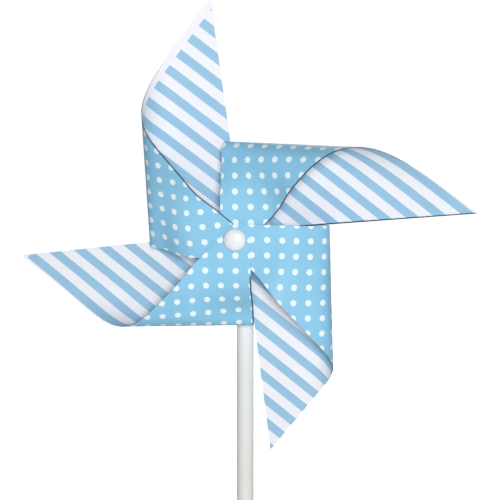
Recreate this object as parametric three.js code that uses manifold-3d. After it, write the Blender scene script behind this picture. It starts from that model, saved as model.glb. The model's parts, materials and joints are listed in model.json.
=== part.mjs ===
// A paper pinwheel on a plastic tube stick. Millimetres, +Z up the stick, the wheel's front faces -Y.
// One square sheet is slit along its diagonals, and one half of every corner is curled forward and
// threaded on the axle behind the button. That leaves four blades and four curled flaps.
import * as THREE from 'three';
import { mergeVertices } from 'three/addons/utils/BufferGeometryUtils.js';
import Module from 'manifold-3d';

// ---- driving dimensions ----
const SHEET_SIDE = 150;
const PAPER_THICKNESS = 0.3;
const SLIT_END = 12; // the sheet is whole this far from its centre along the slits
const SLIT_HALF_WIDTH = 0.2; // at the corner; a slit narrows to nothing at its inner end
const TIP_MARGIN = 6.7; // from a flap's hole to the paper's slit and round tip
const PAPER_HOLE_RADIUS = 1.4;
const WHEEL_TURN = 7.2; // degrees anticlockwise, seen from the front, that the wheel rests at

const AXLE_HEIGHT = 290; // above the stick's foot
const SHEET_TO_STICK = 7; // from the sheet's centre back to the stick's axis
const GAP = 0.3; // between neighbouring pieces
const PIN_RADIUS = 1;
const BORE_RADIUS = PIN_RADIUS + GAP;

const STICK_RADIUS = 4;
const STICK_WALL = 0.8;
const STICK_TOP = 300;
const PLUG_FLANGE = 2;
const PLUG_LENGTH = 12;

const BUTTON_RADIUS = 5;
const BUTTON_RISE = 3.2;
const SPACER_RADIUS = 2.5;
const WASHER_RADIUS = 4;
const WASHER_THICKNESS = 1;
const BUSH_RADIUS = 2;
const BUSH_FLANGE_RADIUS = 3.5;
const BUSH_FLANGE = 0.9;
const BUSH_REACH = 1; // how far the bush stands out behind the stick
const REAR_CAP_RADIUS = 3.5;
const REAR_CAP_LENGTH = 3;
const ROUND_STEPS = 32;

// The sheet's quarters from left round to bottom, by where each one's flap curls over. Every curl is part
// of a cone. Its apex lies apexDrop outside the flap's slit, its angles are degrees about the apex, and
// layer counts the flaps on the axle from the back. Trim is how far inside the square the quarter's outer
// edge is cut, at the blade's tip and at the flap's.
const QUARTERS = [
  { apexDrop: 24, curlFrom: -17.5, curlTo: 9.6, rise: 7.9, settleFrom: 39, layer: 1, trim: [0, 2.2] },
  { apexDrop: 24.6, curlFrom: -20.6, curlTo: 18.4, rise: 11.8, settleFrom: 45, layer: 0, trim: [0, 2.2] },
  { apexDrop: 300, curlFrom: -7, curlTo: -2.5, rise: 0, settleFrom: 0, layer: 2, trim: [2, 2.2] },
  { apexDrop: 15.7, curlFrom: -22.6, curlTo: 16.4, rise: 0, settleFrom: 44.5, layer: 3, trim: [0, 1.8] },
];
const LOWEST_FLAP = 17; // the first flap's height above the sheet's centre, at its hole
const LAYER_STEP = 0.7;
const TOP_FLAP = LOWEST_FLAP + LAYER_STEP * (QUARTERS.length - 1);
const FLAT_TIP = 16; // a flap lies square to the axle this far around its hole, on the one below
const EASE = 22; // over which a flap eases from its flat tip into the cone
const RISE_SPREAD = 20; // degrees over which a blade's rise builds up

const RADIANS = Math.PI / 180;
const HALF_DIAGONAL = SHEET_SIDE / Math.SQRT2;
const HOLE_V = TIP_MARGIN + SLIT_HALF_WIDTH;
const HOLE_U = HALF_DIAGONAL - HOLE_V - TIP_MARGIN * Math.SQRT2;

// ---- the curled sheet ----
// In a flat quarter, v runs from the sheet's centre to the blade's tip and u to the corner that is curled
// in. Points keep (v, u) as their (x, y), and z is how far forward of the sheet's centre they lie.

const smooth = (x) => {
  const t = THREE.MathUtils.clamp(x, 0, 1);
  return t * t * (3 - 2 * t);
};

// The cone's apex, placed so that the tip hole can reach the axle at its height.
function apexOf(quarter) {
  const v = -quarter.apexDrop;
  const height = LOWEST_FLAP + LAYER_STEP * quarter.layer;
  const u = (HOLE_U ** 2 + HOLE_V ** 2 - height ** 2 - 2 * HOLE_V * v) / (2 * HOLE_U);
  return { v, u, height };
}

// Turns the unit vector a towards b, and b away from a.
function turnPair(a, b, angle) {
  const before = a.clone();
  a.multiplyScalar(Math.cos(angle)).addScaledVector(b, Math.sin(angle));
  b.multiplyScalar(Math.cos(angle)).addScaledVector(before, -Math.sin(angle));
}

const SWEEP_FROM = -80;
const SWEEP_TO = 80;
const SWEEP_STEPS = 320;
const SWEEP_STEP = (SWEEP_TO - SWEEP_FROM) / SWEEP_STEPS;

// Every straight line of the curled sheet leaves the apex. This follows such a line, and the sheet's
// normal, around the cone while the sheet turns over.
function sweepCone(quarter, apex, turn, overturn) {
  const holeAngle = Math.atan2(HOLE_U - apex.u, HOLE_V - apex.v) / RADIANS;
  const slitAngles = [Math.atan2(SLIT_END - apex.u, -apex.v), Math.atan2(-apex.u, SLIT_END - apex.v)];
  const flatAngle = Math.max(...slitAngles) / RADIANS + SWEEP_STEP;
  const { curlFrom, curlTo, settleFrom } = quarter;
  const rise = quarter.rise * RADIANS;
  const turned = (angle) =>
    rise * smooth((angle - flatAngle) / RISE_SPREAD) +
    (turn + overturn - rise) * smooth((angle - curlFrom) / (curlTo - curlFrom)) -
    overturn * smooth((angle - settleFrom) / (holeAngle - settleFrom));
  const start = SWEEP_FROM * RADIANS;
  const line = new THREE.Vector3(Math.cos(start), Math.sin(start), 0);
  const across = new THREE.Vector3(-Math.sin(start), Math.cos(start), 0);
  const normal = new THREE.Vector3(0, 0, 1);
  return Array.from({ length: SWEEP_STEPS + 1 }, (_, i) => {
    const found = { line: line.clone(), normal: normal.clone() };
    const angle = SWEEP_FROM + SWEEP_STEP * i;
    turnPair(line, across, SWEEP_STEP * RADIANS);
    turnPair(across, normal, turned(angle + SWEEP_STEP) - turned(angle));
    return found;
  });
}

function onCone(sweep, apex, v, u) {
  const angle = Math.atan2(u - apex.u, v - apex.v) / RADIANS;
  const place = (angle - SWEEP_FROM) / SWEEP_STEP;
  const i = Math.min(Math.floor(place), SWEEP_STEPS - 1);
  const line = sweep[i].line.clone().lerp(sweep[i + 1].line, place - i).normalize();
  const normal = sweep[i].normal.clone().lerp(sweep[i + 1].normal, place - i).normalize();
  const point = line.multiplyScalar(Math.hypot(u - apex.u, v - apex.v));
  point.x += apex.v;
  point.y += apex.u;
  return { point, normal };
}

// Finds, by Newton's method, the turn and overturn that bring the tip hole over the sheet's centre.
function closeCurl(quarter, apex) {
  const miss = (turn, overturn) => {
    const { point } = onCone(sweepCone(quarter, apex, turn, overturn), apex, HOLE_V, HOLE_U);
    return [point.x, point.y];
  };
  const nudge = 1e-4;
  const limit = (step) => THREE.MathUtils.clamp(step, -0.3, 0.3);
  let turn = Math.PI;
  let overturn = 0;
  for (let round = 0; round < 15; round++) {
    const here = miss(turn, overturn);
    const byTurn = miss(turn + nudge, overturn).map((value, i) => (value - here[i]) / nudge);
    const byOver = miss(turn, overturn + nudge).map((value, i) => (value - here[i]) / nudge);
    const size = byTurn[0] * byOver[1] - byTurn[1] * byOver[0];
    turn -= limit((here[0] * byOver[1] - here[1] * byOver[0]) / size);
    overturn -= limit((byTurn[0] * here[1] - byTurn[1] * here[0]) / size);
  }
  return sweepCone(quarter, apex, turn, overturn);
}

// A function from a flat (v, u) to the curled sheet's point and normal there. Around its hole the flap
// eases from the cone into a flat disc square to the axle.
function curledShape(apex, sweep) {
  const hole = onCone(sweep, apex, HOLE_V, HOLE_U).point;
  const alongU = hole.clone().sub(onCone(sweep, apex, HOLE_V, HOLE_U - FLAT_TIP).point);
  alongU.setZ(0).normalize();
  const alongV = new THREE.Vector3(-alongU.y, alongU.x, 0);
  const backwards = new THREE.Vector3(0, 0, -1);
  return (v, u) => {
    const { point, normal } = onCone(sweep, apex, v, u);
    const reach = Math.hypot(u - HOLE_U, v - HOLE_V);
    const settled = 1 - smooth((reach - FLAT_TIP) / EASE);
    const flat = new THREE.Vector3(0, 0, apex.height)
      .addScaledVector(alongV, v - HOLE_V)
      .addScaledVector(alongU, u - HOLE_U);
    return { point: point.lerp(flat, settled), normal: normal.lerp(backwards, settled).normalize() };
  };
}

// ---- cutting the flat sheet into cells ----

const arc = (x, y, radius, from, to, steps) =>
  Array.from({ length: steps + 1 }, (_, i) => {
    const angle = from + ((to - from) * i) / steps;
    return new THREE.Vector2(x + radius * Math.cos(angle), y + radius * Math.sin(angle));
  });

const ring = (x, y, radius, steps) => arc(x, y, radius, 0, 2 * Math.PI, steps).slice(0, -1);

function quarterOutline({ trim }) {
  const [atBlade, atFlap] = trim.map((depth) => depth * Math.SQRT2);
  const bladeTip = new THREE.Vector2(HALF_DIAGONAL - SLIT_HALF_WIDTH - atBlade, SLIT_HALF_WIDTH);
  const sideEnd = new THREE.Vector2(0, HALF_DIAGONAL - atFlap);
  const outward = new THREE.Vector2(sideEnd.y - bladeTip.y, bladeTip.x).normalize();
  const margin = bladeTip.clone().sub(new THREE.Vector2(HOLE_V, HOLE_U)).dot(outward);
  const tipFrom = outward.angle() + Math.acos(margin / TIP_MARGIN);
  return [
    new THREE.Vector2(SLIT_END, 0),
    bladeTip,
    ...arc(HOLE_V, HOLE_U, TIP_MARGIN, tipFrom, Math.PI, 9),
    new THREE.Vector2(0, SLIT_END),
  ];
}

// Splits every polygon that the line through at along direction crosses.
function split(polygons, at, direction) {
  const tiny = 1e-7;
  const side = (p) => direction.x * (p.y - at.y) - direction.y * (p.x - at.x);
  return polygons.flatMap((polygon) => {
    const [left, right] = [[], []];
    polygon.forEach((p, i) => {
      const q = polygon[(i + 1) % polygon.length];
      const [a, b] = [side(p), side(q)];
      if (a > -tiny) left.push(p);
      if (a < tiny) right.push(p);
      if (Math.max(a, b) > tiny && Math.min(a, b) < -tiny && Math.abs(a) > tiny && Math.abs(b) > tiny) {
        const cut = p.clone().lerp(q, a / (a - b));
        left.push(cut);
        right.push(cut);
      }
    });
    return [left, right].filter((part) => part.length > 2 && THREE.ShapeUtils.area(part) > 1e-6);
  });
}

const inside = (polygon, point) =>
  polygon.every((p, i) => {
    const q = polygon[(i + 1) % polygon.length];
    return (q.x - p.x) * (point.y - p.y) - (q.y - p.y) * (point.x - p.x) > 0;
  });

const HOLE_CELL = 2.2; // half the width of the cell around a hole
const CELL_TURN = 11; // degrees of curl across one cell, counting a third of the angle about the apex
const FLAP_CUTS = [-36, -28, -21, -14.5, -8.5, -HOLE_CELL, HOLE_CELL]; // along u, from the hole

function flatCells(quarter, apex, sweep) {
  const holeAngle = Math.atan2(HOLE_U - apex.u, HOLE_V - apex.v) / RADIANS;
  const keepOff = Math.asin(HOLE_CELL / Math.hypot(HOLE_U - apex.u, HOLE_V - apex.v)) / RADIANS;
  const angles = [holeAngle - keepOff, holeAngle + keepOff];
  let turned = 0;
  for (let i = 1; i < SWEEP_STEPS; i++) {
    const angle = SWEEP_FROM + SWEEP_STEP * i;
    turned += sweep[i].normal.angleTo(sweep[i - 1].normal) / RADIANS + SWEEP_STEP / 3;
    if (turned > CELL_TURN && Math.abs(angle - holeAngle) > keepOff * 1.5) {
      angles.push(angle);
      turned = 0;
    }
  }
  let cells = [quarterOutline(quarter)];
  for (const angle of angles) {
    const direction = new THREE.Vector2(Math.cos(angle * RADIANS), Math.sin(angle * RADIANS));
    cells = split(cells, new THREE.Vector2(apex.v, apex.u), direction);
  }
  for (const cut of FLAP_CUTS) {
    cells = split(cells, new THREE.Vector2(0, HOLE_U + cut), new THREE.Vector2(1, 0));
  }
  return cells;
}

// ---- the sheet as a thin closed solid ----

class ThinSolid {
  positions = [];
  triangles = [];
  known = new Map();
  borders = new Map();

  // A place on the sheet is two vertices, on its front face and then on its back face.
  vertex({ point, normal }) {
    const key = point.toArray().map((value) => Math.round(value * 1e4)).join();
    if (!this.known.has(key)) {
      this.known.set(key, this.positions.length / 3);
      for (const offset of [PAPER_THICKNESS / 2, -PAPER_THICKNESS / 2]) {
        this.positions.push(...point.clone().addScaledVector(normal, offset).toArray());
      }
    }
    return this.known.get(key);
  }

  addTriangle(a, b, c) {
    this.triangles.push(a, b, c, a + 1, c + 1, b + 1);
    for (const [from, to] of [[a, b], [b, c], [c, a]]) {
      if (!this.borders.delete(`${to},${from}`)) this.borders.set(`${from},${to}`, [from, to]);
    }
  }

  addCell(contour, holes, placed) {
    const corners = [contour, ...holes].flat().map((p) => this.vertex(placed(p.x, p.y)));
    for (const triangle of THREE.ShapeUtils.triangulateShape(contour, holes)) {
      this.addTriangle(...triangle.map((i) => corners[i]));
    }
  }

  // Fills the space between two rings around the same centre, both anticlockwise.
  addBetween(inner, outer) {
    const spin = (p) => (Math.atan2(p.y, p.x) + 4 * Math.PI) % (2 * Math.PI);
    const facing = new THREE.Vector3(0, 0, 1);
    const prepare = (points) => {
      const sorted = [...points].sort((p, q) => spin(p) - spin(q));
      const found = sorted.map((p) => ({
        index: this.vertex({ point: new THREE.Vector3(p.x, p.y, 0), normal: facing }),
        angle: spin(p),
      }));
      return [...found, { index: found[0].index, angle: found[0].angle + 2 * Math.PI }];
    };
    const [near, far] = [prepare(inner), prepare(outer)];
    let [i, j] = [0, 0];
    while (i < near.length - 1 || j < far.length - 1) {
      const nearDone = i === near.length - 1;
      const farLeft = j < far.length - 1;
      if (nearDone || (farLeft && far[j + 1].angle < near[i + 1].angle)) {
        this.addTriangle(near[i].index, far[j].index, far[j + 1].index);
        j += 1;
      } else {
        this.addTriangle(near[i].index, far[j].index, near[i + 1].index);
        i += 1;
      }
    }
  }

  geometry() {
    const edges = [...this.borders.values()];
    const rim = edges.flatMap(([from, to]) => [to, from, from + 1, to, from + 1, to + 1]);
    const geometry = new THREE.BufferGeometry();
    geometry.setAttribute('position', new THREE.Float32BufferAttribute(this.positions, 3));
    geometry.setIndex([...this.triangles, ...rim]);
    geometry.computeVertexNormals();
    return geometry;
  }
}

function paperSail() {
  const solid = new ThinSolid();
  const towardsViewer = new THREE.Vector3(0, 0, 1);
  const middle = [];
  QUARTERS.forEach((quarter, number) => {
    const apex = apexOf(quarter);
    const sweep = closeCurl(quarter, apex);
    const shape = curledShape(apex, sweep);
    const bladeAngle = (90 * (1 - number) + WHEEL_TURN) * RADIANS;
    const placed = (v, u) => {
      const { point, normal } = shape(v, u);
      point.applyAxisAngle(towardsViewer, bladeAngle);
      normal.applyAxisAngle(towardsViewer, bladeAngle);
      return { point, normal };
    };
    const holeCentre = new THREE.Vector2(HOLE_V, HOLE_U);
    const hole = ring(HOLE_V, HOLE_U, PAPER_HOLE_RADIUS, 16);
    for (const cell of flatCells(quarter, apex, sweep)) {
      solid.addCell(cell, inside(cell, holeCentre) ? [hole] : [], placed);
      const border = cell.filter((p) => Math.abs(p.x + p.y - SLIT_END) < 1e-6 && p.x > 1e-6);
      middle.push(...border.map((p) => placed(p.x, p.y).point));
    }
  });
  const outer = middle.filter((p, i) => middle.findIndex((q) => q.distanceTo(p) < 1e-4) === i);
  solid.addBetween(ring(0, 0, PAPER_HOLE_RADIUS, 16), outer);
  return solid.geometry();
}

// ---- round pieces ----

// A solid of revolution about z. The profile lists [radius, z] and closes on itself or on the axis.
function turnedPiece(profile) {
  const points = profile.map(([radius, z]) => new THREE.Vector2(radius, z));
  if (profile.every(([radius]) => radius > 0)) points.push(points[0].clone());
  return new THREE.LatheGeometry(points, ROUND_STEPS).rotateX(Math.PI / 2);
}

const sleeve = (inner, outer, from, to) =>
  turnedPiece([[inner, from], [outer, from], [outer, to], [inner, to]]);

// A dome's [radius, z] points, from its rim up to the axis.
const domeProfile = (radius, base, rise) =>
  Array.from({ length: 9 }, (_, i) => {
    const angle = (i / 8) * (Math.PI / 2);
    return [i === 8 ? 0 : radius * Math.cos(angle), base + rise * Math.sin(angle)];
  });

const sheetFront = PAPER_THICKNESS / 2;
const washerFront = -sheetFront - GAP;
const bushFront = washerFront - WASHER_THICKNESS - GAP;
const bushEnd = -SHEET_TO_STICK - STICK_RADIUS - BUSH_REACH;
const rearCapFront = bushEnd - GAP;
const buttonBase = TOP_FLAP + sheetFront + GAP;
const SOCKET_DEPTH = 1.7; // of the blind sockets that the pin's ends sit in

// Along the axle, z runs forward from the sheet's centre.
const hubSpacer = () =>
  sleeve(BORE_RADIUS, SPACER_RADIUS, sheetFront + GAP, LOWEST_FLAP - sheetFront - GAP);

const rearWasher = () => sleeve(BORE_RADIUS, WASHER_RADIUS, washerFront - WASHER_THICKNESS, washerFront);

const pivotBush = () =>
  turnedPiece([
    [BORE_RADIUS, bushEnd],
    [BUSH_RADIUS, bushEnd],
    [BUSH_RADIUS, bushFront - BUSH_FLANGE],
    [BUSH_FLANGE_RADIUS, bushFront - BUSH_FLANGE],
    [BUSH_FLANGE_RADIUS, bushFront],
    [BORE_RADIUS, bushFront],
  ]);

function axlePin() {
  const back = rearCapFront - SOCKET_DEPTH + GAP;
  const front = buttonBase + SOCKET_DEPTH - GAP;
  const chamfer = 0.25;
  return turnedPiece([
    [0, back],
    [PIN_RADIUS - chamfer, back],
    [PIN_RADIUS, back + chamfer],
    [PIN_RADIUS, front - chamfer],
    [PIN_RADIUS - chamfer, front],
    [0, front],
  ]);
}

function hubButton() {
  const rim = 0.8;
  return turnedPiece([
    [0, buttonBase + SOCKET_DEPTH],
    [BORE_RADIUS, buttonBase + SOCKET_DEPTH],
    [BORE_RADIUS, buttonBase],
    [BUTTON_RADIUS, buttonBase],
    ...domeProfile(BUTTON_RADIUS, buttonBase + rim, BUTTON_RISE - rim),
  ]);
}

function rearCap() {
  const rim = 1.6;
  const dome = domeProfile(REAR_CAP_RADIUS, 0, REAR_CAP_LENGTH - rim);
  return turnedPiece([
    ...dome.reverse().map(([radius, z]) => [radius, rearCapFront - rim - z]),
    [REAR_CAP_RADIUS, rearCapFront],
    [BORE_RADIUS, rearCapFront],
    [BORE_RADIUS, rearCapFront - SOCKET_DEPTH],
    [0, rearCapFront - SOCKET_DEPTH],
  ]);
}

// ---- the stick ----

const wasm = await Module();
wasm.setup();

function toManifold(geometry) {
  const bare = geometry.clone();
  bare.deleteAttribute('normal');
  bare.deleteAttribute('uv');
  const merged = mergeVertices(bare, 1e-4);
  const mesh = new wasm.Mesh({
    numProp: 3,
    vertProperties: new Float32Array(merged.attributes.position.array),
    triVerts: new Uint32Array(merged.index.array),
  });
  return new wasm.Manifold(mesh);
}

function subtract(geometry, cutter) {
  const mesh = toManifold(geometry).subtract(toManifold(cutter)).getMesh();
  const result = new THREE.BufferGeometry();
  result.setAttribute('position', new THREE.BufferAttribute(mesh.vertProperties, 3));
  result.setIndex(new THREE.BufferAttribute(mesh.triVerts, 1));
  result.computeVertexNormals();
  return result;
}

const PLUG_RADIUS = STICK_RADIUS - STICK_WALL - GAP;
const TOP_PLUG_STEM = 5;

function stickTube() {
  const tube = sleeve(STICK_RADIUS - STICK_WALL, STICK_RADIUS, PLUG_FLANGE + GAP, STICK_TOP);
  const hole = new THREE.CylinderGeometry(BUSH_RADIUS + GAP, BUSH_RADIUS + GAP, 4 * STICK_RADIUS, 24);
  return subtract(tube, hole.translate(0, 0, AXLE_HEIGHT));
}

const footPlug = () =>
  turnedPiece([
    [0, 0],
    [STICK_RADIUS - 0.4, 0],
    [STICK_RADIUS, 0.4],
    [STICK_RADIUS, PLUG_FLANGE],
    [PLUG_RADIUS, PLUG_FLANGE],
    [PLUG_RADIUS, PLUG_FLANGE + PLUG_LENGTH],
    [0, PLUG_FLANGE + PLUG_LENGTH],
  ]);

const topPlug = () =>
  turnedPiece([
    [0, STICK_TOP - TOP_PLUG_STEM],
    [PLUG_RADIUS, STICK_TOP - TOP_PLUG_STEM],
    [PLUG_RADIUS, STICK_TOP + GAP],
    [STICK_RADIUS, STICK_TOP + GAP],
    ...domeProfile(STICK_RADIUS, STICK_TOP + GAP + 0.6, PLUG_FLANGE - 0.6),
  ]);

// ---- assembly ----

const plastic = (color, roughness) => new THREE.MeshStandardMaterial({ color, roughness, metalness: 0 });
const whitePlastic = () => plastic(0xf1f3f6, 0.35);
const stickPlastic = () => plastic(0xe6e7e6, 0.5);

function piece(name, geometry, material) {
  const mesh = new THREE.Mesh(geometry, material);
  mesh.name = name;
  return mesh;
}

const stick = new THREE.Group();
stick.add(
  piece('stick_tube', stickTube(), stickPlastic()),
  piece('foot_plug', footPlug(), stickPlastic()),
  piece('top_plug', topPlug(), stickPlastic()),
);

const wheel = new THREE.Group();
wheel.position.set(0, -SHEET_TO_STICK, AXLE_HEIGHT);
wheel.rotation.x = Math.PI / 2;
const paper = new THREE.MeshStandardMaterial({ color: 0x9fcdea, roughness: 0.75, metalness: 0 });
const steel = new THREE.MeshStandardMaterial({ color: 0xc9ccd0, roughness: 0.3, metalness: 0.9 });
wheel.add(
  piece('paper_sail', paperSail(), paper),
  piece('hub_button', hubButton(), whitePlastic()),
  piece('axle_pin', axlePin(), steel),
  piece('hub_spacer', hubSpacer(), whitePlastic()),
  piece('rear_washer', rearWasher(), whitePlastic()),
  piece('pivot_bush', pivotBush(), whitePlastic()),
  piece('rear_cap', rearCap(), whitePlastic()),
);

const pinwheel = new THREE.Group();
pinwheel.add(stick, wheel);

export default pinwheel;
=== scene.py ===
"""Looks of the paper pinwheel: the printed sheet, its axle and button, and the tube stick."""
import json
import math

import bmesh
import bpy
import numpy as np
from mathutils import Matrix, Vector


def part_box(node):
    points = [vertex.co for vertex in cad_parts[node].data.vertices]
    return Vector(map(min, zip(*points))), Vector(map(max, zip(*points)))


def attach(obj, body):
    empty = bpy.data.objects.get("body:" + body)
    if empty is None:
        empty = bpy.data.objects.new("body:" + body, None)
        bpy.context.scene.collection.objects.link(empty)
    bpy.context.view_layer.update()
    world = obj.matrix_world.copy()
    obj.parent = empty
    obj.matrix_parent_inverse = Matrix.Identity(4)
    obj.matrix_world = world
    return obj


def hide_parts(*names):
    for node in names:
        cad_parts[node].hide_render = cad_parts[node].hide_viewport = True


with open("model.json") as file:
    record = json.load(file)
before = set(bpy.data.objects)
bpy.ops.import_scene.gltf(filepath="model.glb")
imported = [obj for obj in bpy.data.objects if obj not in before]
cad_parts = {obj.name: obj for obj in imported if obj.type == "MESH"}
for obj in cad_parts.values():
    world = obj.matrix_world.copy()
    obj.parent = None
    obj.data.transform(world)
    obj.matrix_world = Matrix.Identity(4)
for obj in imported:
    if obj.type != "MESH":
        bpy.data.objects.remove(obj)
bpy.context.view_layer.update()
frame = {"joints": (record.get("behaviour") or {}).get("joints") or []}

MM = 0.001
HUB = Vector(frame["joints"][0]["pos_m"])


# ---- camera, lights and floor ----

TO_CAMERA = Vector((0.1664, -0.9733, 0.1582)).normalized()
CAMERA_DISTANCE = 0.6
AIM_RIGHT = 3.4 * MM  # of the hub, as the camera sees it
AIM_DOWN = 7.9 * MM
LENS = 95.1
NEAREST = 0.01  # that the camera sees

WORLD_LIGHT = 0.1
BACKGROUND = 1.0  # the world's and the floor's brightness where the camera sees them
FLOOR_REACH = 12.0
FLOOR_GREY = 0.55


def aim(thing, place, target):
    """Puts a thing at a place, with its -Z towards the target and its Y up."""
    thing.location = place
    thing.rotation_euler = (target - place).to_track_quat("-Z", "Y").to_euler()


def add_camera():
    camera = bpy.data.objects.new("camera", bpy.data.cameras.new("camera"))
    bpy.context.scene.collection.objects.link(camera)
    camera.data.lens = LENS
    right = Vector((0, 0, 1)).cross(TO_CAMERA).normalized()
    up = TO_CAMERA.cross(right)
    target = HUB + right * AIM_RIGHT - up * AIM_DOWN
    aim(camera, HUB + TO_CAMERA * CAMERA_DISTANCE, target)
    camera.data.clip_start = NEAREST
    bpy.context.scene.camera = camera


def add_softbox(name, azimuth, elevation, distance, size, watts):
    """A square soft light that faces the hub. Azimuth 0 is in front and 90 on the right."""
    light = bpy.data.lights.new(name, "AREA")
    light.size = size
    light.energy = watts
    holder = bpy.data.objects.new(name, light)
    bpy.context.scene.collection.objects.link(holder)
    a, e = math.radians(azimuth), math.radians(elevation)
    away = Vector((math.sin(a) * math.cos(e), -math.cos(a) * math.cos(e), math.sin(e)))
    aim(holder, HUB + away * distance, HUB)


def for_camera(tree, elsewhere, seen, socket):
    """Gives a socket one value where the camera looks straight at it and another for light."""
    path = tree.nodes.new("ShaderNodeLightPath")
    choice = tree.nodes.new("ShaderNodeMapRange")
    choice.inputs["To Min"].default_value = elsewhere
    choice.inputs["To Max"].default_value = seen
    tree.links.new(path.outputs["Is Camera Ray"], choice.inputs["Value"])
    tree.links.new(choice.outputs["Result"], socket)


def add_world():
    world = bpy.data.worlds.new("studio")
    bpy.context.scene.world = world
    world.use_nodes = True
    background = world.node_tree.nodes["Background"]
    background.inputs["Color"].default_value = (1, 1, 1, 1)
    for_camera(world.node_tree, WORLD_LIGHT, BACKGROUND, background.inputs["Strength"])


def add_floor():
    mesh = bpy.data.meshes.new("floor")
    signs = [(-1, -1), (1, -1), (1, 1), (-1, 1)]
    mesh.from_pydata([(x * FLOOR_REACH, y * FLOOR_REACH, 0) for x, y in signs], [], [(0, 1, 2, 3)])
    floor = bpy.data.objects.new("floor", mesh)
    bpy.context.scene.collection.objects.link(floor)
    material = bpy.data.materials.new("floor")
    material.use_nodes = True
    shader = material.node_tree.nodes["Principled BSDF"]
    shader.inputs["Base Color"].default_value = (FLOOR_GREY, FLOOR_GREY, FLOOR_GREY, 1)
    shader.inputs["Roughness"].default_value = 0.9
    shader.inputs["Emission Color"].default_value = (1, 1, 1, 1)
    for_camera(material.node_tree, 0, BACKGROUND, shader.inputs["Emission Strength"])
    mesh.materials.append(material)


# ---- the curled sheet, in millimetres, as part.mjs curls it ----

# One square sheet is slit along its diagonals, and one half of every corner is curled forward onto the
# axle. In a flat quarter, v runs from the sheet's centre to the blade's tip and u to the corner that is
# curled in.
SHEET_SIDE = 150
PAPER_THICKNESS = 0.3
SLIT_END = 12  # the sheet is whole this far from its centre along the slits
SLIT_HALF_WIDTH = 0.2  # at the corner; a slit narrows to nothing at its inner end
TIP_MARGIN = 6.7  # from a flap's hole to the paper's slit and round tip
PAPER_HOLE_RADIUS = 1.4
WHEEL_TURN = 7.2  # degrees anticlockwise, seen from the front, that the wheel rests at

# The quarters from left round to bottom, by where each one's flap curls over. Every curl is part of a
# cone. Its apex lies apex_drop outside the flap's slit, its angles are degrees about the apex, and layer
# counts the flaps on the axle from the back. Trim is how far inside the square the quarter's outer edge
# is cut, at the blade's tip and at the flap's.
QUARTERS = [
    dict(apex_drop=24, curl_from=-17.5, curl_to=9.6, rise=7.9, settle_from=39, layer=1, trim=(0, 2.2)),
    dict(apex_drop=24.6, curl_from=-20.6, curl_to=18.4, rise=11.8, settle_from=45, layer=0, trim=(0, 2.2)),
    dict(apex_drop=300, curl_from=-7, curl_to=-2.5, rise=0, settle_from=0, layer=2, trim=(2, 2.2)),
    dict(apex_drop=15.7, curl_from=-22.6, curl_to=16.4, rise=0, settle_from=44.5, layer=3, trim=(0, 1.8)),
]
LOWEST_FLAP = 17  # the first flap's height above the sheet's centre, at its hole
LAYER_STEP = 0.7
FLAT_TIP = 16  # a flap lies square to the axle this far around its hole
EASE = 22  # over which a flap eases from its flat tip into the cone
RISE_SPREAD = 20  # degrees over which a blade's rise builds up

HALF_DIAGONAL = SHEET_SIDE / math.sqrt(2)
HOLE_V = TIP_MARGIN + SLIT_HALF_WIDTH
HOLE_U = HALF_DIAGONAL - HOLE_V - TIP_MARGIN * math.sqrt(2)

SWEEP_FROM = -80  # degrees about the apex
SWEEP_TO = 80
SWEEP_STEPS = 320
SWEEP_STEP = (SWEEP_TO - SWEEP_FROM) / SWEEP_STEPS

NEWTON_STEPS = 15
NEWTON_NUDGE = 1e-4  # radians
LARGEST_STEP = 0.3  # radians


def smooth(x):
    t = np.clip(x, 0, 1)
    return t * t * (3 - 2 * t)


def apex_of(quarter):
    """The cone's apex (v, u), placed so that the tip hole can reach the axle at its height."""
    v = -quarter["apex_drop"]
    height = LOWEST_FLAP + LAYER_STEP * quarter["layer"]
    u = (HOLE_U**2 + HOLE_V**2 - height**2 - 2 * HOLE_V * v) / (2 * HOLE_U)
    return v, u, height


def sweep_cone(quarter, apex, turn, overturn):
    """The direction of each straight line that leaves the apex, and the sheet's normal along it."""
    v, u, _ = apex
    hole_angle = math.degrees(math.atan2(HOLE_U - u, HOLE_V - v))
    slit_angles = math.atan2(SLIT_END - u, -v), math.atan2(-u, SLIT_END - v)
    flat_angle = math.degrees(max(slit_angles)) + SWEEP_STEP
    rise = math.radians(quarter["rise"])
    angles = SWEEP_FROM + SWEEP_STEP * np.arange(SWEEP_STEPS + 2)
    curl_width = quarter["curl_to"] - quarter["curl_from"]
    settle_width = hole_angle - quarter["settle_from"]
    turned = (
        rise * smooth((angles - flat_angle) / RISE_SPREAD)
        + (turn + overturn - rise) * smooth((angles - quarter["curl_from"]) / curl_width)
        - overturn * smooth((angles - quarter["settle_from"]) / settle_width)
    )
    start, step = math.radians(SWEEP_FROM), math.radians(SWEEP_STEP)
    line = np.array([math.cos(start), math.sin(start), 0])
    across = np.array([-math.sin(start), math.cos(start), 0])
    normal = np.array([0.0, 0, 1])
    lines, normals = [], []
    for bend in np.diff(turned):
        lines.append(line)
        normals.append(normal)
        line, across = (
            line * math.cos(step) + across * math.sin(step),
            across * math.cos(step) - line * math.sin(step),
        )
        across, normal = (
            across * math.cos(bend) + normal * math.sin(bend),
            normal * math.cos(bend) - across * math.sin(bend),
        )
    return np.array(lines), np.array(normals)


def unit(vectors):
    return vectors / np.linalg.norm(vectors, axis=-1, keepdims=True)


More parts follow.
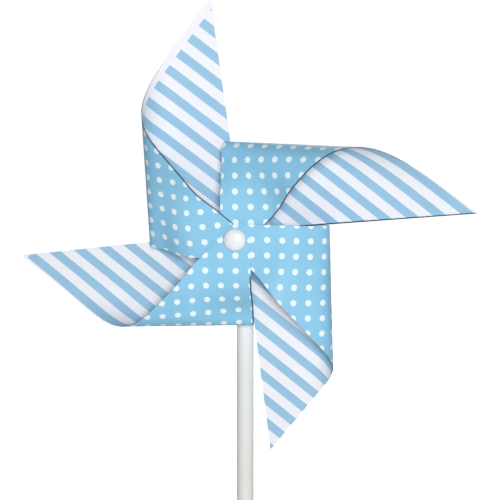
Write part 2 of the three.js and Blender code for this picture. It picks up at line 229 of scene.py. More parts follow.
def on_cone(sweep, apex, v, u):
    """Points and normals of the curled sheet at the flat points (v, u)."""
    lines, normals = sweep
    dv, du = np.asarray(v) - apex[0], np.asarray(u) - apex[1]
    place = (np.degrees(np.arctan2(du, dv)) - SWEEP_FROM) / SWEEP_STEP
    i = np.minimum(place.astype(int), SWEEP_STEPS - 1)
    share = (place - i)[..., None]
    line = unit(lines[i] * (1 - share) + lines[i + 1] * share)
    normal = unit(normals[i] * (1 - share) + normals[i + 1] * share)
    point = line * np.hypot(dv, du)[..., None] + np.array([apex[0], apex[1], 0])
    return point, normal


def close_curl(quarter, apex):
    """Newton's method on the turn and overturn that bring the tip hole over the sheet's centre."""

    def miss(turn, overturn):
        sweep = sweep_cone(quarter, apex, turn, overturn)
        return on_cone(sweep, apex, HOLE_V, HOLE_U)[0][:2]

    turns = np.array([math.pi, 0.0])
    nudges = np.eye(2) * NEWTON_NUDGE
    for _ in range(NEWTON_STEPS):
        here = miss(*turns)
        slopes = [(miss(*(turns + nudge)) - here) / NEWTON_NUDGE for nudge in nudges]
        step = np.linalg.solve(np.array(slopes).T, here)
        turns -= np.clip(step, -LARGEST_STEP, LARGEST_STEP)
    return sweep_cone(quarter, apex, *turns)


def curled_shape(apex, sweep):
    """The curled sheet as a function of flat points, with the flap's tip eased flat on the axle."""
    hole = on_cone(sweep, apex, HOLE_V, HOLE_U)[0]
    along_u = hole - on_cone(sweep, apex, HOLE_V, HOLE_U - FLAT_TIP)[0]
    along_u = unit(along_u * (1, 1, 0))
    along_v = np.array([-along_u[1], along_u[0], 0])

    def shape(v, u):
        point, normal = on_cone(sweep, apex, v, u)
        reach = np.hypot(u - HOLE_U, v - HOLE_V)
        settled = (1 - smooth((reach - FLAT_TIP) / EASE))[..., None]
        flat = np.array([0, 0, apex[2]]) + along_v * (v - HOLE_V)[..., None]
        flat = flat + along_u * (u - HOLE_U)[..., None]
        point = point * (1 - settled) + flat * settled
        normal = unit(normal * (1 - settled) + np.array([0, 0, -1]) * settled)
        return point, normal

    return shape


# ---- cutting the flat sheet into small cells ----

TINY = 1e-6
ON_LINE = 1e-7  # a point this near a line is on it
TIP_STEPS = 27
HOLE_STEPS = 32
HOLE_CELL = 2.2  # the cell around a hole reaches this far from it
HOLE_CLEARANCE = 1.3  # of other lines from that cell, as a share of its half width
CELL_STEP = 3.5
CELL_TURN = 2.4  # degrees that the sheet bends within a cell at most
CELL_SPREAD = 6.0  # degrees about an apex on the slit, at most, and fewer about one further out
SPREAD_REACH = 25  # from the slit to where cells about any apex are equally wide


def arc(x, y, radius, start, end, steps):
    angles = np.linspace(start, end, steps + 1)
    return [(x + radius * math.cos(a), y + radius * math.sin(a)) for a in angles]


def ring(x, y, radius, steps):
    return arc(x, y, radius, 0, 2 * math.pi, steps)[:-1]


def quarter_outline(trim):
    """A flat quarter's outline, from the uncut middle by the blade's tip to the flap's round tip."""
    at_blade, at_flap = (depth * math.sqrt(2) for depth in trim)
    blade_tip = (HALF_DIAGONAL - SLIT_HALF_WIDTH - at_blade, SLIT_HALF_WIDTH)
    side_end = (0, HALF_DIAGONAL - at_flap)
    outward = math.atan2(blade_tip[0], side_end[1] - blade_tip[1])
    beyond = (blade_tip[0] - HOLE_V) * math.cos(outward) + (blade_tip[1] - HOLE_U) * math.sin(outward)
    tip_from = outward + math.acos(beyond / TIP_MARGIN)
    return [
        (SLIT_END, 0),
        blade_tip,
        *arc(HOLE_V, HOLE_U, TIP_MARGIN, tip_from, math.pi, TIP_STEPS),
        (0, SLIT_END),
    ]


def area_of(polygon):
    return 0.5 * sum(
        x0 * y1 - x1 * y0 for (x0, y0), (x1, y1) in zip(polygon, polygon[1:] + polygon[:1])
    )


def split(polygons, at, direction):
    """Splits every polygon that the line through at along direction crosses."""
    found = []
    for polygon in polygons:
        sides = [direction[0] * (y - at[1]) - direction[1] * (x - at[0]) for x, y in polygon]
        if min(sides) > -ON_LINE or max(sides) < ON_LINE:
            found.append(polygon)
            continue
        left, right = [], []
        for i, (p, a) in enumerate(zip(polygon, sides)):
            j = (i + 1) % len(polygon)
            q, b = polygon[j], sides[j]
            if a > -ON_LINE:
                left.append(p)
            if a < ON_LINE:
                right.append(p)
            if max(a, b) > ON_LINE and min(a, b) < -ON_LINE:
                share = a / (a - b)
                cut = (p[0] + (q[0] - p[0]) * share, p[1] + (q[1] - p[1]) * share)
                left.append(cut)
                right.append(cut)
        found += [part for part in (left, right) if len(part) > 2 and area_of(part) > TINY]
    return found


def flat_cells(quarter, apex, sweep):
    """The flat quarter cut along straight lines of its cone, and across into strips."""
    v, u, _ = apex
    hole_angle = math.degrees(math.atan2(HOLE_U - u, HOLE_V - v))
    keep_off = math.degrees(math.asin(HOLE_CELL / math.hypot(HOLE_U - u, HOLE_V - v)))
    normals = sweep[1]
    bends = np.degrees(np.arccos(np.clip((normals[1:] * normals[:-1]).sum(1), -1, 1)))
    angles = [hole_angle - keep_off, hole_angle + keep_off]
    widest = CELL_SPREAD * SPREAD_REACH / (SPREAD_REACH - v)
    turned = spread = 0
    for i, bend in enumerate(bends):
        angle = SWEEP_FROM + SWEEP_STEP * (i + 1)
        turned += bend
        spread += SWEEP_STEP
        clear = abs(angle - hole_angle) > keep_off * HOLE_CLEARANCE
        if clear and (turned > CELL_TURN or spread > widest):
            angles.append(angle)
            turned = spread = 0
    cells = [quarter_outline(quarter["trim"])]
    for angle in angles:
        direction = (math.cos(math.radians(angle)), math.sin(math.radians(angle)))
        cells = split(cells, (v, u), direction)
    steps = int(HALF_DIAGONAL / CELL_STEP)
    cuts = [HOLE_CELL + CELL_STEP * i for i in range(steps)]
    for cut in [HOLE_CELL, *(-cut for cut in cuts)]:
        cells = split(cells, (0, HOLE_U + cut), (1, 0))
    for cut in [-HOLE_CELL, *cuts]:
        cells = split(cells, (HOLE_V + cut, 0), (0, 1))
    return cells


def inside(polygon, point):
    """Whether the point is inside the convex polygon."""
    return all(
        (x1 - x0) * (point[1] - y0) - (y1 - y0) * (point[0] - x0) > 0
        for (x0, y0), (x1, y1) in zip(polygon, polygon[1:] + polygon[:1])
    )


def zip_rings(inner, outer, centre):
    """Triangles between two rings of (key, x, y) around the same centre, both anticlockwise."""

    def prepare(points):
        spun = sorted(
            (math.atan2(y - centre[1], x - centre[0]) % (2 * math.pi), key) for key, x, y in points
        )
        return spun + [(spun[0][0] + 2 * math.pi, spun[0][1])]

    near, far = prepare(inner), prepare(outer)
    i = j = 0
    triangles = []
    while i < len(near) - 1 or j < len(far) - 1:
        near_done = i == len(near) - 1
        if near_done or (j < len(far) - 1 and far[j + 1][0] < near[i + 1][0]):
            triangles.append((near[i][1], far[j][1], far[j + 1][1]))
            j += 1
        else:
            triangles.append((near[i][1], far[j][1], near[i + 1][1]))
            i += 1
    return triangles


# ---- the sheet's mesh ----


class Sheet:
    """The middle surface of the curled sheet: each vertex has a place, a normal and a flat place."""

    def __init__(self):
        self.places, self.normals, self.flats, self.faces = [], [], [], []
        self.known = {}

    def vertex(self, place, normal, flat):
        key = tuple(round(c * 1e4) for c in place)
        if key not in self.known:
            self.known[key] = len(self.places)
            self.places.append(place)
            self.normals.append(normal)
            self.flats.append(flat)
        return self.known[key]


def flat_uv(x, y):
    """A flat place as shares of the sheet's side, from the side where the stripes start and the bare one."""
    scale = math.sqrt(2) * SHEET_SIDE
    return (HALF_DIAGONAL - x - y) / scale, (HALF_DIAGONAL + x - y) / scale


def build_sheet():
    """The curled sheet, and its flat area in square millimetres."""
    sheet = Sheet()
    flat_area = 0
    middle = {}
    for number, quarter in enumerate(QUARTERS):
        apex = apex_of(quarter)
        sweep = close_curl(quarter, apex)
        shape = curled_shape(apex, sweep)
        turn = math.radians(90 * (1 - number))
        rest = turn + math.radians(WHEEL_TURN)

        def add(points):
            """Vertices at the flat points (v, u) of this quarter."""
            v, u = np.array(points, float).T
            place, normal = shape(v, u)
            spin = np.array([[math.cos(rest), math.sin(rest), 0],
                             [-math.sin(rest), math.cos(rest), 0], [0, 0, 1]])
            x = v * math.cos(turn) - u * math.sin(turn)
            y = v * math.sin(turn) + u * math.cos(turn)
            flats = [flat_uv(*flat) for flat in zip(x, y)]
            return [sheet.vertex(*row) for row in zip(place @ spin, normal @ spin, flats)]

        hole = (HOLE_V, HOLE_U)
        for cell in flat_cells(quarter, apex, sweep):
            flat_area += area_of(cell)
            corners = add(cell)
            if inside(cell, hole):
                rim = ring(*hole, PAPER_HOLE_RADIUS, HOLE_STEPS)
                near = [(key, *p) for key, p in zip(add(rim), rim)]
                far = [(key, *p) for key, p in zip(corners, cell)]
                sheet.faces += zip_rings(near, far, hole)
            else:
                sheet.faces.append(corners)
            for key, (v, u) in zip(corners, cell):
                if abs(v + u - SLIT_END) < TINY:
                    middle[key] = sheet.places[key][:2]
    flat_area += 2 * SLIT_END**2
    axle_rim = []
    for x, y in ring(0, 0, PAPER_HOLE_RADIUS, HOLE_STEPS):
        back = math.radians(-WHEEL_TURN)
        flat = x * math.cos(back) - y * math.sin(back), x * math.sin(back) + y * math.cos(back)
        key = sheet.vertex(np.array([x, y, 0]), np.array([0, 0, 1]), flat_uv(*flat))
        axle_rim.append((key, x, y))
    sheet.faces += zip_rings(axle_rim, [(key, *p) for key, p in middle.items()], (0, 0))
    return sheet, flat_area


def to_world(points):
    """Wheel millimetres, with z forward, to the frame's metres."""
    return np.array([points[:, 0], -points[:, 2], points[:, 1]]).T * MM + np.array(HUB)


def new_object(name, mesh, *materials):
    for material in materials:
        mesh.materials.append(material)
    thing = bpy.data.objects.new(name, mesh)
    bpy.context.scene.collection.objects.link(thing)
    return thing


FLAT_MAP = "flat_sheet"
FRONT, BACK, CUT = range(3)  # the sheet's material slots


def add_printed_sheet(materials):
    sheet, flat_area = build_sheet()
    places, normals = np.array(sheet.places), np.array(sheet.normals)
    count = len(places)
    half = PAPER_THICKNESS / 2
    vertices = to_world(np.vstack([places + normals * half, places - normals * half]))
    faces = [list(face) for face in sheet.faces]
    borders = {}
    for face in faces:
        for a, b in zip(face, face[1:] + face[:1]):
            if (b, a) in borders:
                del borders[b, a]
            else:
                borders[a, b] = True
    backs = [[key + count for key in reversed(face)] for face in faces]
    rims = [[b, a, a + count, b + count] for a, b in borders]
    mesh = bpy.data.meshes.new("printed_sheet")
    mesh.from_pydata(vertices.tolist(), [], faces + backs + rims)
    slots = [FRONT] * len(faces) + [BACK] * len(backs) + [CUT] * len(rims)
    mesh.polygons.foreach_set("material_index", slots)
    mesh.polygons.foreach_set("use_smooth", [slot != CUT for slot in slots])
    corner_keys = np.zeros(len(mesh.loops), int)
    mesh.loops.foreach_get("vertex_index", corner_keys)
    flats = np.array(sheet.flats)[corner_keys % count]
    mesh.uv_layers.new(name=FLAT_MAP).data.foreach_set("uv", flats.ravel())
    piece = new_object("printed_sheet", mesh, *materials)
    mark_sharp(mesh, SHEET_CREASE)
    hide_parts("paper_sail")
    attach(piece, "sail")


# ---- turned pieces, in millimetres along their axis ----

ROUNDING_STEPS = 5
DOME_STEPS = 16
TURNED_STEPS = 96
FORWARD = Matrix.Rotation(math.pi / 2, 4, "X")  # turns +Z to the wheel's front
SHEET_CREASE = 35  # degrees past which an edge is shaded sharp
TURNED_CREASE = 40


def mark_sharp(mesh, angle):
    mesh.set_sharp_from_angle(angle=math.radians(angle))


def rounded(corners):
    """Points of a profile whose corners [x, y, radius] are rounded off."""
    points = []
    for i, (x, y, radius) in enumerate(corners):
        if radius == 0:
            points.append((x, y))
            continue
        here = Vector((x, y))
        before = (Vector(corners[i - 1][:2]) - here).normalized()
        after = (Vector(corners[(i + 1) % len(corners)][:2]) - here).normalized()
        half_opening = before.angle(after) / 2
        centre = here + (before + after).normalized() * radius / math.sin(half_opening)
        arms = [here + way * radius / math.tan(half_opening) - centre for way in (before, after)]
        start, end = (math.atan2(arm.y, arm.x) for arm in arms)
        sweep = (end - start + math.pi) % (2 * math.pi) - math.pi
        for step in range(ROUNDING_STEPS + 1):
            angle = start + sweep * step / ROUNDING_STEPS
            points.append((centre.x + radius * math.cos(angle), centre.y + radius * math.sin(angle)))
    return points


def dome(radius, base, rise, steps=DOME_STEPS, fullness=1.0):
    """(radius, z) from a dome's rim to its crown. A fullness below 1 makes its shoulders rounder."""
    angles = [math.pi / 2 * i / steps for i in range(steps)]
    rim = [(radius * math.cos(a) ** fullness, base + rise * math.sin(a)) for a in angles]
    return rim + [(0, base + rise)]


def turned_mesh(name, profile, closed=False):
    """A solid of revolution about z. The profile lists (radius, z), and is a ring where closed."""
    form = bmesh.new()
    turns = [2 * math.pi * i / TURNED_STEPS for i in range(TURNED_STEPS)]
    loops = []
    for radius, z in profile:
        spots = [(radius * math.cos(a), radius * math.sin(a), z) for a in turns]
        loops.append([form.verts.new(spot) for spot in (spots if radius > 0 else spots[:1])])
    for low, high in zip(loops, loops[1:] + (loops[:1] if closed else [])):
        for i in range(TURNED_STEPS):
            j = (i + 1) % TURNED_STEPS
            corners = [low[i % len(low)], low[j % len(low)], high[j % len(high)], high[i % len(high)]]
            form.faces.new(list(dict.fromkeys(corners)))
    bmesh.ops.recalc_face_normals(form, faces=form.faces)
    mesh = bpy.data.meshes.new(name)
    form.to_mesh(mesh)
    form.free()
    mesh.polygons.foreach_set("use_smooth", [True] * len(mesh.polygons))
    mesh.transform(Matrix.Scale(MM, 4))
    return mesh


def stand_for(piece, node, body):
    mark_sharp(piece.data, TURNED_CREASE)
    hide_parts(node)
    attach(piece, body)


def wheel_piece(name, profile, node, body, material, closed=False):
    """A turned piece on the axle. Its z runs forward from the hub."""
    mesh = turned_mesh(name, profile, closed)
    mesh.transform(Matrix.Translation(HUB) @ FORWARD)
    stand_for(new_object(name, mesh, material), node, body)


def stick_piece(name, profile, node, material):
    """A turned piece on the stick's axis. Its z runs up from the foot."""
    stand_for(new_object(name, turned_mesh(name, profile), material), node, "stick")


def on_axle(node):
    """A node's radius, and how far forward of the hub it starts and ends."""
    low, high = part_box(node)
    return (high.x - low.x) / 2 / MM, (HUB.y - high.y) / MM, (HUB.y - low.y) / MM


def on_stick(node):
    """A node's radius, and the heights where it starts and ends."""
    low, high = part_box(node)
    return (high.x - low.x) / 2 / MM, low.z / MM, high.z / MM


BORE_RADIUS = 1.3
BORE_EDGE = 0.15  # the rounding at a bore's mouth
SOCKET_DEPTH = 1.7  # of the blind sockets that the pin's ends sit in
BUTTON_RIM = 0.9
BUTTON_STEPS = 24
BUTTON_FULLNESS = 0.85
CAP_RIM = 1.6
PIN_CHAMFER = 0.25
BUSH_BARREL = 2.0
BUSH_FLANGE = 0.9


def add_button(glossy):
    radius, back, front = on_axle("hub_button")
    rim = back + BUTTON_RIM
    underside = [
        (0, back + SOCKET_DEPTH, 0),
        (BORE_RADIUS, back + SOCKET_DEPTH, 0),
        (BORE_RADIUS, back, BORE_EDGE),
        (radius, back, 0.25),
        (radius, rim, 0),
    ]
    face = dome(radius, rim, front - rim, BUTTON_STEPS, BUTTON_FULLNESS)
    profile = rounded(underside) + face[1:]
    wheel_piece("round_button", profile, "hub_button", "axle", glossy)


def add_end_cap(glossy):
    radius, back, front = on_axle("rear_cap")
    rim = front - CAP_RIM
    crown = [(r, rim - z) for r, z in reversed(dome(radius, 0, rim - back))]
    socket = [
        (radius, rim, 0),
        (radius, front, 0.3),
        (BORE_RADIUS, front, BORE_EDGE),
        (BORE_RADIUS, front - SOCKET_DEPTH, 0),
        (0, front - SOCKET_DEPTH, 0),
    ]
    profile = crown[:-1] + rounded(socket)
    wheel_piece("end_cap", profile, "rear_cap", "axle", glossy)


def add_pin(steel):
    radius, back, front = on_axle("axle_pin")
    sides = [(0, back, 0), (radius, back, PIN_CHAMFER), (radius, front, PIN_CHAMFER), (0, front, 0)]
    wheel_piece("steel_pin", rounded(sides), "axle_pin", "axle", steel)


def add_sleeve(name, node, edge, natural):
    """A ring on the pin with all four edges rounded."""
    radius, back, front = on_axle(node)
    sides = [
        (BORE_RADIUS, back, edge),
        (radius, back, edge),
        (radius, front, edge),
        (BORE_RADIUS, front, edge),
    ]
    wheel_piece(name, rounded(sides), node, "axle", natural, closed=True)


def add_bush(natural):
    radius, back, front = on_axle("pivot_bush")
    flange_back = front - BUSH_FLANGE
    sides = [
        (BORE_RADIUS, back, BORE_EDGE),
        (BUSH_BARREL, back, 0.2),
        (BUSH_BARREL, flange_back, 0),
        (radius, flange_back, 0.2),
        (radius, front, 0.25),
        (BORE_RADIUS, front, BORE_EDGE),
    ]
    profile = rounded(sides)
    wheel_piece("flanged_bush", profile, "pivot_bush", "stick", natural, closed=True)


STICK_WALL = 0.8
BUSH_HOLE_RADIUS = 2.3
PLUG_FLANGE = 2
PLUG_RADIUS = 2.9
TOP_RIM = 0.6


def add_tube(plastic):
    radius, low, high = on_stick("stick_tube")
    inner = radius - STICK_WALL
    walls = [
        (inner, low, BORE_EDGE),
        (radius, low, 0.2),
        (radius, high, 0.2),
        (inner, high, BORE_EDGE),
    ]
    tube = new_object("hollow_stick", turned_mesh("hollow_stick", rounded(walls), True), plastic)
    reach = 2 * radius
    bit = [(0, -reach), (BUSH_HOLE_RADIUS, -reach), (BUSH_HOLE_RADIUS, reach), (0, reach)]
    drill = new_object("drill", turned_mesh("drill", bit))
    drill.data.transform(Matrix.Translation((0, 0, HUB.z)) @ FORWARD)
    cut = tube.modifiers.new("cut", "BOOLEAN")
    cut.object = drill
    cut.solver = "EXACT"
    graph = bpy.context.evaluated_depsgraph_get()
    drilled = bpy.data.meshes.new_from_object(tube.evaluated_get(graph))
    tube.modifiers.clear()
    tube.data = drilled
    bpy.data.objects.remove(drill)
    stand_for(tube, "stick_tube", "stick")


def add_foot(plastic):
    radius, low, high = on_stick("foot_plug")
    sides = [
        (0, low, 0),
        (radius, low, 0.5),
        (radius, low + PLUG_FLANGE, 0.2),
        (PLUG_RADIUS, low + PLUG_FLANGE, 0),
        (PLUG_RADIUS, high, 0.4),
        (0, high, 0),
    ]
    stick_piece("foot_stopper", rounded(sides), "foot_plug", plastic)


def add_top(plastic):
    radius, low, high = on_stick("top_plug")
    ledge = high - PLUG_FLANGE
    rim = ledge + TOP_RIM
    sides = [
        (0, low, 0),
        (PLUG_RADIUS, low, 0.4),
        (PLUG_RADIUS, ledge, 0),
        (radius, ledge, 0.2),
        (radius, rim, 0),
    ]
    profile = rounded(sides) + dome(radius, rim, high - rim)[1:]
    stick_piece("top_stopper", profile, "top_plug", plastic)


# ---- materials ----


def linear(red, green, blue):
    """An sRGB colour, each channel from 0 to 255, as the linear colour that a shader takes."""
    channels = [c / 255 for c in (red, green, blue)]
    return [c / 12.92 if c <= 0.04045 else ((c + 0.055) / 1.055) ** 2.4 for c in channels] + [1]


class Look:
    """A material's nodes around its Principled shader."""

    def __init__(self, name, **settings):
        self.material = bpy.data.materials.new(name)
        self.material.use_nodes = True
        self.tree = self.material.node_tree
        self.shader = self.tree.nodes["Principled BSDF"]
        for socket, value in settings.items():
            self.shader.inputs[socket.replace("_", " ")].default_value = value

    def put(self, socket, value):
        if isinstance(value, bpy.types.NodeSocket):
            self.tree.links.new(value, socket)
        else:
            socket.default_value = value

    def node(self, kind, inputs=(), **settings):
        made = self.tree.nodes.new("ShaderNode" + kind)
        for name, value in settings.items():
            setattr(made, name, value)
        for name, value in dict(inputs).items():
            self.put(made.inputs[name], value)
        return made

    def math(self, operation, first, second=0.0):
        return self.node("Math", {0: first, 1: second}, operation=operation).outputs[0]

    def scale(self, place, factors):
        scaled = self.node("VectorMath", {0: place, 1: factors}, operation="MULTIPLY")
        return scaled.outputs["Vector"]

    def parts(self, place):
        return self.node("SeparateXYZ", {0: place}).outputs

    def spread(self, value, low, high, to_low=0.0, to_high=1.0, smoothed=False):
        """The value's range from low to high as the range from to_low to to_high, and flat beyond."""
        inputs = {
            "Value": value,
            "From Min": low,
            "From Max": high,
            "To Min": to_low,
            "To Max": to_high,
        }
        kind = "SMOOTHSTEP" if smoothed else "LINEAR"
        return self.node("MapRange", inputs, interpolation_type=kind).outputs["Result"]

    def mix(self, share, first, second):
        """The first colour where share is 0, and the second where it is 1."""
        inputs = {0: share, 6: first, 7: second}
        return self.node("Mix", inputs, data_type="RGBA").outputs[2]

    def noise(self, place, scale, detail=2.0, rough=0.5):
        inputs = {"Vector": place, "Scale": scale, "Detail": detail, "Roughness": rough}
        return self.node("TexNoise", inputs).outputs["Fac"]

    def bump(self, height, distance, strength=1.0):
        inputs = {"Height": height, "Distance": distance, "Strength": strength}
        return self.node("Bump", inputs).outputs["Normal"]

    def colour(self, value):
        self.put(self.shader.inputs["Base Color"], value)

    def rough(self, value):
        self.put(self.shader.inputs["Roughness"], value)

    def normal(self, value):
        self.put(self.shader.inputs["Normal"], value)


# The print, in millimetres on the flat sheet. Stripes run along one side from near its edge, and stop
# short of the next side, which has a bare margin. Dots lie on a lattice along the diagonals.
STRIPE_PITCH = 8.49
STRIPE_START = 0.53
STRIPE_WIDTH = 4.03
BARE_MARGIN = 3.3
DOT_PITCH = 6.87
DOT_RADIUS = 1.4
INK_BLUR = 0.12

# Painted shadow: a dark line is painted on the faces beside the card's cuts, and the cut itself is painted
# dark as shade. Along a slit the line starts at LINE_FROM from the sheet's centre, and on the dotted face it
# ends at LINE_TO. Near the sheet's corners, past the next distance below, the cut is left light, without
# painted shade.
LINE_WIDTH = 0.5
LINE_FROM = 14
LINE_TO = 74
LINE_FADE = 2
UNSHADED_FROM = 78
UNSHADED_FADE = 4

PAPER_WHITE = linear(236, 238, 245)
STRIPE_BLUE = linear(149, 193, 221)
DOT_GROUND = linear(138, 198, 230)
DOT_WHITE = linear(231, 245, 250)
# Painted shadow: the dark of the lines beside the cuts, not a colour of the card.
SHADOW_LINE_DARK = linear(30, 60, 88)
# Painted shade: the dark of the cut itself, whose core is white.
CUT_SHADE_DARK = linear(34, 60, 84)
CORE_WHITE = linear(226, 238, 246)


def shade(colour, factor):
    return [min(1, channel * factor) for channel in colour[:3]] + [1]


def sheet_place(look):
    """Millimetres from the side where the stripes start, and from the bare side, as a vector."""
    uv = look.node("UVMap", uv_map=FLAT_MAP).outputs["UV"]
    return look.scale(uv, (SHEET_SIDE, SHEET_SIDE, 0))


def from_centre(look, across, bare):
    """Millimetres right of the flat sheet's centre and below it, along its diagonals."""
    right = look.math("MULTIPLY", look.math("SUBTRACT", bare, across), math.sqrt(0.5))
    down = look.math("MULTIPLY", look.math("ADD", bare, across), math.sqrt(0.5))
    return right, look.math("SUBTRACT", down, HALF_DIAGONAL)


def painted_shadow_line(look, distance):
    """1 within a line's width of the edge that distance is measured from, else 0: the mask of a painted
    shadow line.
    """
    return look.spread(distance, LINE_WIDTH - INK_BLUR, LINE_WIDTH + INK_BLUR, 1, 0, True)


def painted_slit_shadow(look, along, beside):
    """A painted shadow line on the sheet beside a slit, from the hub outwards."""
    line = painted_shadow_line(look, look.math("SUBTRACT", beside, SLIT_HALF_WIDTH))
    this_side = look.spread(beside, -0.01, 0, 0, 1)
    outward = look.spread(along, LINE_FROM, LINE_FROM + LINE_FADE, 0, 1, True)
    return look.math("MULTIPLY", look.math("MULTIPLY", line, this_side), outward)


def finish_paper(look, place, ink, white, blue, line):
    """Coated card: ink that varies a little in strength, painted shadow lines, fine fibres and a soft sheen.
    """
    cloud = look.noise(place, 0.06, 3)
    grain = look.noise(place, 3.2, 3, 0.65)
    fibre = look.noise(look.scale(place, (1.0, 0.25, 1.0)), 2.1, 4, 0.6)
    pale = look.mix(look.spread(grain, 0.35, 0.75, 0, 0.2), blue, shade(blue, 1.18))
    deep = look.mix(look.spread(cloud, 0.35, 0.7, 0, 0.26), pale, shade(blue, 0.86))
    stock = look.mix(look.spread(fibre, 0.4, 0.75, 0, 0.6), white, shade(white, 0.955))
    # Painted shadow: where line is 1, the dark of a shadow line covers the print.
    look.colour(look.mix(line, look.mix(ink, stock, deep), SHADOW_LINE_DARK))
    look.rough(look.spread(grain, 0.3, 0.7, 0.5, 0.62))
    height = look.math("ADD", look.math("MULTIPLY", fibre, 0.7), look.math("MULTIPLY", grain, 0.3))
    look.normal(look.bump(height, 0.00008, 0.6))


def striped_paper():
    look = Look("striped_paper", Specular_IOR_Level=0.35, Sheen_Weight=0.05, Sheen_Roughness=0.5)
    place = sheet_place(look)
    across, bare, _ = look.parts(place)
    half = STRIPE_WIDTH / 2
    from_middle = look.math("SUBTRACT", across, STRIPE_START + half)
    from_middle = look.math("PINGPONG", from_middle, STRIPE_PITCH / 2)
    band = look.spread(from_middle, half - INK_BLUR, half + INK_BLUR, 1, 0, True)
    printed = look.spread(bare, BARE_MARGIN - INK_BLUR, BARE_MARGIN + INK_BLUR, 0, 1, True)
    ink = look.math("MULTIPLY", band, printed)
    right, down = from_centre(look, across, bare)
    # A painted shadow line beside the slit.
    line = painted_slit_shadow(look, right, look.math("MULTIPLY", down, -1.0))
    finish_paper(look, place, ink, PAPER_WHITE, STRIPE_BLUE, line)
    return look.material


def dotted_paper():
    look = Look("dotted_paper", Specular_IOR_Level=0.35, Sheen_Weight=0.05, Sheen_Roughness=0.5)
    place = sheet_place(look)
    across, bare, _ = look.parts(place)
    right, down = from_centre(look, across, bare)
    dx = look.math("PINGPONG", right, DOT_PITCH / 2)
    dy = look.math("PINGPONG", down, DOT_PITCH / 2)
    square = look.math("ADD", look.math("MULTIPLY", dx, dx), look.math("MULTIPLY", dy, dy))
    ink = look.spread(look.math("SQRT", square), DOT_RADIUS - INK_BLUR, DOT_RADIUS + INK_BLUR, 0, 1, True)
    left_trim, top_trim = (quarter["trim"] for quarter in QUARTERS[:2])
    from_left = look.math("SUBTRACT", bare, look.spread(across, 0, SHEET_SIDE, *left_trim))
    from_top = look.math("SUBTRACT", across, look.spread(bare, 0, SHEET_SIDE, *reversed(top_trim)))
    # Painted shadow lines along the outer sides of the left and top flaps, and beside a slit.
    rim = painted_shadow_line(look, look.math("MINIMUM", from_left, from_top))
    slit = painted_slit_shadow(look, down, look.math("MULTIPLY", right, -1.0))
    slit = look.math("MULTIPLY", slit, look.spread(down, LINE_TO - LINE_FADE, LINE_TO, 1, 0, True))
    finish_paper(look, place, ink, DOT_WHITE, DOT_GROUND, look.math("MAXIMUM", rim, slit))
    return look.material


def cut_edge():
    """The cut through the card, painted dark as shade, except at the blades' tips and the flaps' tips."""
    look = Look("cut_edge", Specular_IOR_Level=0.2)
    place = sheet_place(look)
    across, bare, _ = look.parts(place)
    right, down = from_centre(look, across, bare)
    reach = look.math("MAXIMUM", look.math("ABSOLUTE", right), look.math("ABSOLUTE", down))
    grain = look.noise(place, 2.4, 4, 0.6)
    # Painted shade on the cut, paler in grainy specks, and left light near the sheet's corners.
    unshaded = look.spread(reach, UNSHADED_FROM, UNSHADED_FROM + UNSHADED_FADE, 0, 1, True)
    pale = look.math("MAXIMUM", look.spread(grain, 0.3, 0.75, 0, 0.35), unshaded)
    look.colour(look.mix(pale, CUT_SHADE_DARK, CORE_WHITE))
    look.rough(look.spread(grain, 0.3, 0.7, 0.75, 0.95))
    look.normal(look.bump(grain, 0.0001, 0.4))
    return look.material


def object_place(look):
    return look.node("TexCoord").outputs["Object"]


def glossy_plastic():
    look = Look("glossy_plastic", Coat_Weight=0.35, Coat_Roughness=0.12, Specular_IOR_Level=0.5)
    place = object_place(look)
    cloud = look.noise(place, 260, 3)
    peel = look.noise(place, 900, 2)
    speck = look.noise(place, 2600, 2)
    look.colour(look.mix(look.spread(cloud, 0.35, 0.7), linear(238, 240, 244), linear(229, 235, 243)))
    look.rough(look.spread(speck, 0.3, 0.7, 0.28, 0.35))
    look.normal(look.bump(peel, 0.00003, 0.4))
    return look.material


def natural_plastic():
    look = Look("natural_plastic", Specular_IOR_Level=0.4)
    place = object_place(look)
    cloud = look.noise(place, 300, 3)
    peel = look.noise(place, 1500, 3)
    look.colour(look.mix(look.spread(cloud, 0.35, 0.7), linear(238, 239, 238), linear(224, 228, 228)))
    look.rough(look.spread(peel, 0.3, 0.7, 0.42, 0.58))
    look.normal(look.bump(peel, 0.00003, 0.4))
    return look.material


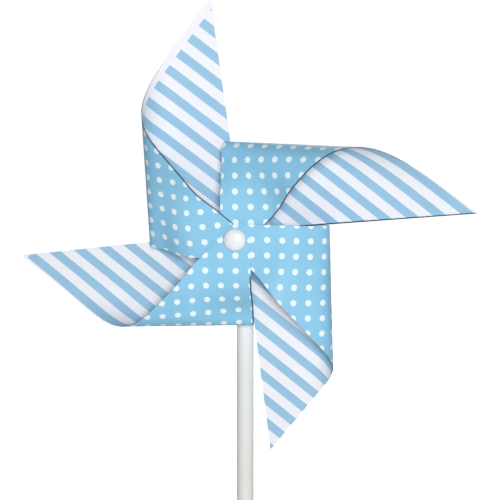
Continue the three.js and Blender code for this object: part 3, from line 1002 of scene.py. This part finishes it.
def drawn_steel():
    look = Look("drawn_steel", Metallic=1.0)
    place = object_place(look)
    streaks = look.noise(look.scale(place, (1, 0.04, 1)), 4000, 3)
    look.colour(look.mix(look.spread(streaks, 0.3, 0.7), linear(196, 198, 202), linear(170, 173, 178)))
    look.rough(look.spread(streaks, 0.3, 0.7, 0.2, 0.4))
    look.normal(look.bump(streaks, 0.00001, 0.4))
    return look.material


def stick_plastic():
    """Extruded tube: faint draw lines along it, and scuffs from handling."""
    look = Look("stick_plastic", Specular_IOR_Level=0.45)
    place = object_place(look)
    lines = look.noise(look.scale(place, (1, 1, 0.012)), 1400, 3, 0.6)
    cloud = look.noise(look.scale(place, (1, 1, 0.3)), 90, 3)
    scuff = look.noise(look.scale(place, (1, 1, 0.5)), 700, 5, 0.7)
    base = look.mix(look.spread(cloud, 0.35, 0.7), linear(233, 234, 231), linear(226, 227, 222))
    lined = look.mix(look.spread(lines, 0.4, 0.75, 0, 0.25), base, linear(212, 214, 211))
    look.colour(look.mix(look.spread(scuff, 0.62, 0.72, 0, 0.3), lined, linear(206, 207, 203)))
    look.rough(look.spread(scuff, 0.4, 0.75, 0.38, 0.6))
    look.normal(look.bump(lines, 0.00004, 0.4))
    return look.material


# ---- the pinwheel ----

bpy.context.scene.view_settings.view_transform = "Standard"
add_camera()
add_world()
add_softbox("key", azimuth=13, elevation=12, distance=1.1, size=0.3, watts=10.4)
add_softbox("back_fill", azimuth=192, elevation=20, distance=1.2, size=0.8, watts=9)
add_softbox("right_fill", azimuth=128, elevation=15, distance=1.2, size=0.7, watts=2.2)
add_softbox("left_fill", azimuth=-128, elevation=15, distance=1.2, size=0.7, watts=2.2)
add_floor()

glossy, natural, tube_plastic = glossy_plastic(), natural_plastic(), stick_plastic()
add_button(glossy)
add_end_cap(glossy)
add_pin(drawn_steel())
add_sleeve("spacer_tube", "hub_spacer", 0.15, natural)
add_sleeve("back_washer", "rear_washer", 0.2, natural)
add_bush(natural)
add_tube(tube_plastic)
add_foot(tube_plastic)
add_top(tube_plastic)
add_printed_sheet([striped_paper(), dotted_paper(), cut_edge()])
